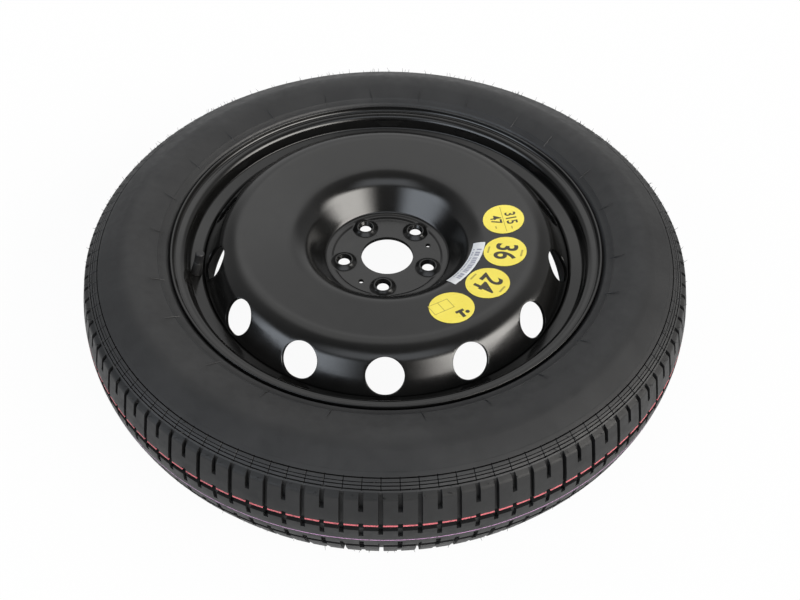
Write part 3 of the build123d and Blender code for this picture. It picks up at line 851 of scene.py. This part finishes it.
# each entry: its kind, its middle across and outwards, and its sizes
sideBars = (("bar", 0.0, 19.3, 11.0, 2.2), ("bar", 0.0, -19.3, 11.0, 2.0))
labelPrint = (
    {"dark": (("number", 0.0, 8.6, "315", 12.5), ("number", -1.0, -9.6, "47", 12.5)),
     "faint": (("bar", 0.0, -0.4, 44.0, 0.7), ("bar", 16.5, 7.0, 4.6, 1.6),
               ("bar", 12.5, -11.5, 4.6, 1.6))},
    {"dark": (("number", 0.0, -0.5, "36", 24.5),), "faint": sideBars},
    {"dark": (("number", 0.0, -0.5, "24", 24.5),), "faint": sideBars},
    {"dark": (("bar", -4.0, 14.0, 4.0, 12.0), ("bar", -4.0, 9.5, 10.0, 3.6), ("dot", -11.0, 14.5, 2.4)),
     "faint": (("frame", 3.2, -7.0, 13.0, 16.0, 0.8), ("frame", 15.4, -7.0, 13.0, 16.0, 0.8))},
)
# two rows of short bars, as wide as chance has it
stripForm = {
    "radii": (105.5, 119.5), "start": -50.0, "arc": 39.0, "half": 27.0, "seed": 5,
    "width": (1.0, 3.4), "gaps": (0.8, 1.0, 2.6), "upper": (1.4, 1.8), "upperTall": 5.6,
    "lower": -4.4, "lowerTall": 1.7, "lowerShare": 0.8,
}


def crownHeight(radius):
    # height of the pressed face beside the recess: an arc, then the slope
    cornerRadius, cornerHeight = crownForm["corner"]
    slope = radians(crownForm["slope"])
    bend = crownForm["rounding"]
    tangent = bend * tan((radians(crownForm["wall"]) - slope) / 2)
    arcEnd = cornerRadius + tangent * cos(slope)
    if radius >= arcEnd:
        return cornerHeight + (radius - cornerRadius) * tan(slope)
    middle = arcEnd + bend * sin(slope)
    base = cornerHeight + tangent * sin(slope) - bend * cos(slope)
    return base + sqrt(bend * bend - (radius - middle) ** 2)


def layOnCrown(bm, radius, angle):
    # print drawn in mm, its +Y outwards, goes over the crown
    out = Vector((cos(angle), sin(angle), 0))
    along = Vector((sin(angle), -cos(angle), 0))
    for vert in bm.verts:
        spot = out * (radius + vert.co.y) + along * vert.co.x
        # how far the face rises in one mm
        rise = crownHeight(spot.length + 0.5) - crownHeight(spot.length - 0.5)
        height = crownHeight(spot.length) + (crownForm["film"] + vert.co.z) * sqrt(1 + rise * rise)
        vert.co = Vector((spot.x, spot.y, height)) * mm


def addBar(bm, x, y, width, height):
    # a flat bar of ink about its middle
    columns, rows = printForm["barGrid"]
    grid = bmesh.ops.create_grid(bm, x_segments=columns, y_segments=rows, size=0.5)["verts"]
    bmesh.ops.scale(bm, vec=(width, height, 1), verts=grid)
    bmesh.ops.translate(bm, vec=(x, y, 0), verts=grid)


def addFrame(bm, x, y, width, height, line):
    for way in (-1, 1):
        addBar(bm, x + way * (width - line) / 2, y, line, height)
        addBar(bm, x, y + way * (height - line) / 2, width, line)


def addDot(bm, x, y, radius):
    dot = bmesh.ops.create_circle(bm, cap_ends=True, segments=printForm["dotSides"], radius=radius)
    bmesh.ops.translate(bm, vec=(x, y, 0), verts=dot["verts"])


def addNumber(bm, x, y, digits, height):
    curve = bpy.data.curves.new("number", "FONT")
    curve.body = digits
    curve.align_x = "CENTER"
    curve.align_y = "CENTER"
    curve.size = height / printForm["capital"]
    curve.offset = height * printForm["bold"]
    holder = bpy.data.objects.new("number", curve)
    mesh = bpy.data.meshes.new_from_object(holder)
    mesh.transform(Matrix.Translation((x, y, 0)) @ Matrix.Diagonal((printForm["narrow"], 1, 1, 1)))
    bm.from_mesh(mesh)
    for data, owner in ((mesh, bpy.data.meshes), (holder, bpy.data.objects), (curve, bpy.data.curves)):
        owner.remove(data)


drawers = {"bar": addBar, "frame": addFrame, "dot": addDot, "number": addNumber}


def drawAll(entries):
    bm = bmesh.new()
    for kind, *values in entries:
        drawers[kind](bm, *values)
    return bm


def drawStrip():
    bm = bmesh.new()
    chance = random.Random(stripForm["seed"])
    along = -stripForm["half"]
    while along < stripForm["half"]:
        width = chance.uniform(*stripForm["width"])
        addBar(bm, along + width / 2, chance.choice(stripForm["upper"]), width, stripForm["upperTall"])
        addBar(bm, along + width / 2, stripForm["lower"], width * stripForm["lowerShare"],
               stripForm["lowerTall"])
        along += width + chance.choice(stripForm["gaps"])
    middle = sum(stripForm["radii"]) / 2
    for vert in bm.verts:
        turn = vert.co.x / middle
        reach = middle + vert.co.y
        vert.co.x = reach * sin(turn)
        vert.co.y = reach * cos(turn) - middle
    return bm, middle, stripForm["start"] + stripForm["arc"] / 2


def finishPrint(bm, radius, angle, name, slot, material):
    bmesh.ops.remove_doubles(bm, verts=bm.verts[:], dist=printForm["merge"])
    layer = bmesh.ops.extrude_face_region(bm, geom=bm.faces[:])["geom"]
    raised = [item for item in layer if isinstance(item, bmesh.types.BMVert)]
    bmesh.ops.translate(bm, vec=(0, 0, crownForm["ink"]), verts=raised)
    bmesh.ops.recalc_face_normals(bm, faces=bm.faces[:])
    layOnCrown(bm, radius, radians(angle))
    makePiece(bm, name, "wheel", material)


inkLook = {**filmLook, "dark": (0.028, 0.024, 0.014), "light": (0.05, 0.042, 0.024)}
faintLook = {**filmLook, "dark": (0.42, 0.34, 0.05), "light": (0.5, 0.4, 0.06)}
greyLook = {**filmLook, "dark": (0.3, 0.31, 0.38), "light": (0.42, 0.43, 0.5)}


def buildPrint():
    ink = plainFinish("label_ink", inkLook)
    faint = plainFinish("label_faint_ink", faintLook)
    grey = plainFinish("strip_ink", greyLook)
    places = zip(labelForm["radii"], labelForm["angles"], labelPrint)
    for number, (radius, angle, layers) in enumerate(places, 1):
        for part, name, material in (("dark", "number", ink), ("faint", "lines", faint)):
            finishPrint(drawAll(layers[part]), radius, angle, f"label_{name}_{number}", "label_yellow",
                        material)
    finishPrint(*drawStrip(), "strip_marks", "label_white", grey)


buildPrint()


# Floor, light and camera

# the floor lies a hair below the tyre, and is shaded inside the radius underWheel, with a soft edge
floorForm = {"reach": 30.0, "gap": 0.4, "colour": (0.85, 0.85, 0.85, 1.0), "rough": 0.9, "glow": 0.95,
             "underWheel": 0.33, "softEdge": 0.06}
studio = {
    # strength of the room on the camera's side and beyond the wheel, and where it changes
    "near": 0.12, "far": 0.36, "change": (-0.2, 0.5),
    # each panel is a soft edged field of light: azimuth from the camera's side, elevation, level, colour
    "panels": (
        {"middle": 180.0, "half": 30.0, "side": 10.0, "el": (-10.0, 46.0), "edge": 9.0, "level": 0.42,
         "colour": (1.0, 1.0, 1.0)},
        {"middle": 180.0, "half": 44.0, "side": 18.0, "el": (41.0, 74.0), "edge": 7.0, "level": 0.72,
         "colour": (1.0, 1.0, 0.99)},
        {"middle": 58.0, "half": 30.0, "side": 16.0, "el": (9.0, 37.0), "edge": 7.0, "level": 9.0,
         "colour": (1.0, 0.97, 0.92)},
        {"middle": -54.0, "half": 30.0, "side": 14.0, "el": (9.0, 37.0), "edge": 7.0, "level": 3.6,
         "colour": (0.84, 0.91, 1.0)},
        {"middle": 0.0, "half": 50.0, "side": 20.0, "el": (47.0, 69.0), "edge": 6.0, "level": 1.3,
         "colour": (0.9, 0.94, 1.0)},
    ),
}


def smoothStep(nodes, links, value, start, end):
    node = addNode(nodes, "ShaderNodeMapRange", interpolation_type="SMOOTHSTEP")
    node.inputs["From Min"].default_value = start
    node.inputs["From Max"].default_value = end
    links.new(value, node.inputs["Value"])
    return node.outputs[0]


def buildFloor():
    bm = bmesh.new()
    bmesh.ops.create_grid(bm, x_segments=1, y_segments=1, size=floorForm["reach"])
    bmesh.ops.translate(bm, verts=bm.verts[:], vec=(0, 0, cadBox[0].z - floorForm["gap"] * mm))
    mesh = bpy.data.meshes.new("floor")
    bm.to_mesh(mesh)
    bm.free()
    floor = bpy.data.objects.new("floor", mesh)
    scene.collection.objects.link(floor)
    material, nodes, links, shader = newMaterial("pale_floor")
    shader.inputs["Base Color"].default_value = floorForm["colour"]
    shader.inputs["Roughness"].default_value = floorForm["rough"]
    shader.inputs["Specular IOR Level"].default_value = 0.0
    # white to the camera and in reflections, but the floor under the wheel reflects as it is lit
    path = addNode(nodes, "ShaderNodeLightPath").outputs
    place = addNode(nodes, "ShaderNodeTexCoord").outputs["Object"]
    flat = addNode(nodes, "ShaderNodeVectorMath", operation="MULTIPLY")
    flat.inputs[1].default_value = (1, 1, 0)
    links.new(place, flat.inputs[0])
    reach = addNode(nodes, "ShaderNodeVectorMath", operation="LENGTH")
    links.new(flat.outputs[0], reach.inputs[0])
    edge = floorForm["underWheel"]
    outside = smoothStep(nodes, links, reach.outputs["Value"], edge, edge + floorForm["softEdge"])
    seen = mathOf(nodes, links, "MULTIPLY", path["Is Glossy Ray"], outside)
    seen = mathOf(nodes, links, "MAXIMUM", seen, path["Is Camera Ray"])
    seen = mathOf(nodes, links, "MAXIMUM", seen, path["Is Transmission Ray"])
    glow = addNode(nodes, "ShaderNodeEmission", Color=(1, 1, 1, 1), Strength=1.0)
    last = addNode(nodes, "ShaderNodeMixShader")
    links.new(mathOf(nodes, links, "MULTIPLY", seen, floorForm["glow"]), last.inputs["Fac"])
    links.new(shader.outputs[0], last.inputs[1])
    links.new(glow.outputs[0], last.inputs[2])
    # clear from below, so that the wheel's back can be seen
    above = addNode(nodes, "ShaderNodeMixShader")
    links.new(addNode(nodes, "ShaderNodeNewGeometry").outputs["Backfacing"], above.inputs["Fac"])
    links.new(last.outputs[0], above.inputs[1])
    links.new(addNode(nodes, "ShaderNodeBsdfTransparent").outputs[0], above.inputs[2])
    links.new(above.outputs[0], nodes["Material Output"].inputs["Surface"])
    mesh.materials.append(material)


def buildLight():
    # a dim room, brighter beyond the wheel, with soft panels there and on the camera's side
    world = bpy.data.worlds.new("studio")
    world.use_nodes = True
    nodes = world.node_tree.nodes
    links = world.node_tree.links

    def calc(operation, *values):
        return mathOf(nodes, links, operation, *values)

    split = addNode(nodes, "ShaderNodeSeparateXYZ")
    links.new(addNode(nodes, "ShaderNodeTexCoord").outputs["Generated"], split.inputs[0])
    x, y, z = split.outputs
    room = nodes["Background"]
    room.inputs["Color"].default_value = (1, 1, 1, 1)
    beyond = smoothStep(nodes, links, y, *studio["change"])
    links.new(calc("ADD", studio["near"], calc("MULTIPLY", beyond, studio["far"] - studio["near"])),
              room.inputs["Strength"])
    light = room.outputs[0]
    height = calc("ARCSINE", z)
    for panel in studio["panels"]:
        turn = radians(panel["middle"])
        across = calc("ADD", calc("MULTIPLY", x, cos(turn)), calc("MULTIPLY", y, sin(turn)))
        ahead = calc("SUBTRACT", calc("MULTIPLY", x, sin(turn)), calc("MULTIPLY", y, cos(turn)))
        aside = calc("ABSOLUTE", calc("ARCTAN2", across, ahead))
        half, side, edge = radians(panel["half"]), radians(panel["side"]), radians(panel["edge"])
        low, high = (radians(limit) for limit in panel["el"])
        field = calc("MULTIPLY", smoothStep(nodes, links, aside, half + side, half - side),
                     smoothStep(nodes, links, height, low - edge, low + edge))
        field = calc("MULTIPLY", field, smoothStep(nodes, links, height, high + edge, high - edge))
        source = addNode(nodes, "ShaderNodeBackground", Color=(*panel["colour"], 1.0))
        links.new(calc("MULTIPLY", field, panel["level"]), source.inputs["Strength"])
        both = addNode(nodes, "ShaderNodeAddShader")
        links.new(light, both.inputs[0])
        links.new(source.outputs[0], both.inputs[1])
        light = both.outputs[0]
    white = addNode(nodes, "ShaderNodeBackground", Color=(1, 1, 1, 1), Strength=1.0)
    eye = addNode(nodes, "ShaderNodeMixShader")
    links.new(addNode(nodes, "ShaderNodeLightPath").outputs["Is Camera Ray"], eye.inputs["Fac"])
    links.new(light, eye.inputs[1])
    links.new(white.outputs[0], eye.inputs[2])
    links.new(eye.outputs[0], nodes["World Output"].inputs["Surface"])
    scene.world = world


# the hub's face lies at this pixel of the picture, and the focal length is in pixels too
photoView = {"elevation": 45.13, "distance": 916.65, "roll": -0.1, "hubFace": 4.6, "sensor": 36.0,
             "picture": (800, 600), "pixel": (387.11, 255.05), "focal": 726.2}


def buildCamera():
    el = radians(photoView["elevation"])
    target = Vector((0, 0, photoView["hubFace"] * mm))
    back = Vector((0, -cos(el), sin(el)))
    lens = bpy.data.cameras.new("photo_view")
    lens.sensor_width = photoView["sensor"]
    width, height = photoView["picture"]
    lens.lens = photoView["focal"] / width * lens.sensor_width
    camera = bpy.data.objects.new("photo_view", lens)
    camera.location = target + back * photoView["distance"] * mm
    x, y = photoView["pixel"]
    ray = Vector((x - width / 2, height / 2 - y, -photoView["focal"])).normalized()
    swing = Vector((0, 0, -1)).rotation_difference(ray)
    roll = Quaternion((0, 0, 1), radians(-photoView["roll"]))
    camera.rotation_mode = "QUATERNION"
    camera.rotation_quaternion = (-back).to_track_quat("-Z", "Y") @ swing.inverted() @ roll
    scene.collection.objects.link(camera)
    scene.camera = camera


buildFloor()
buildLight()
buildCamera()
print("studio and camera set")
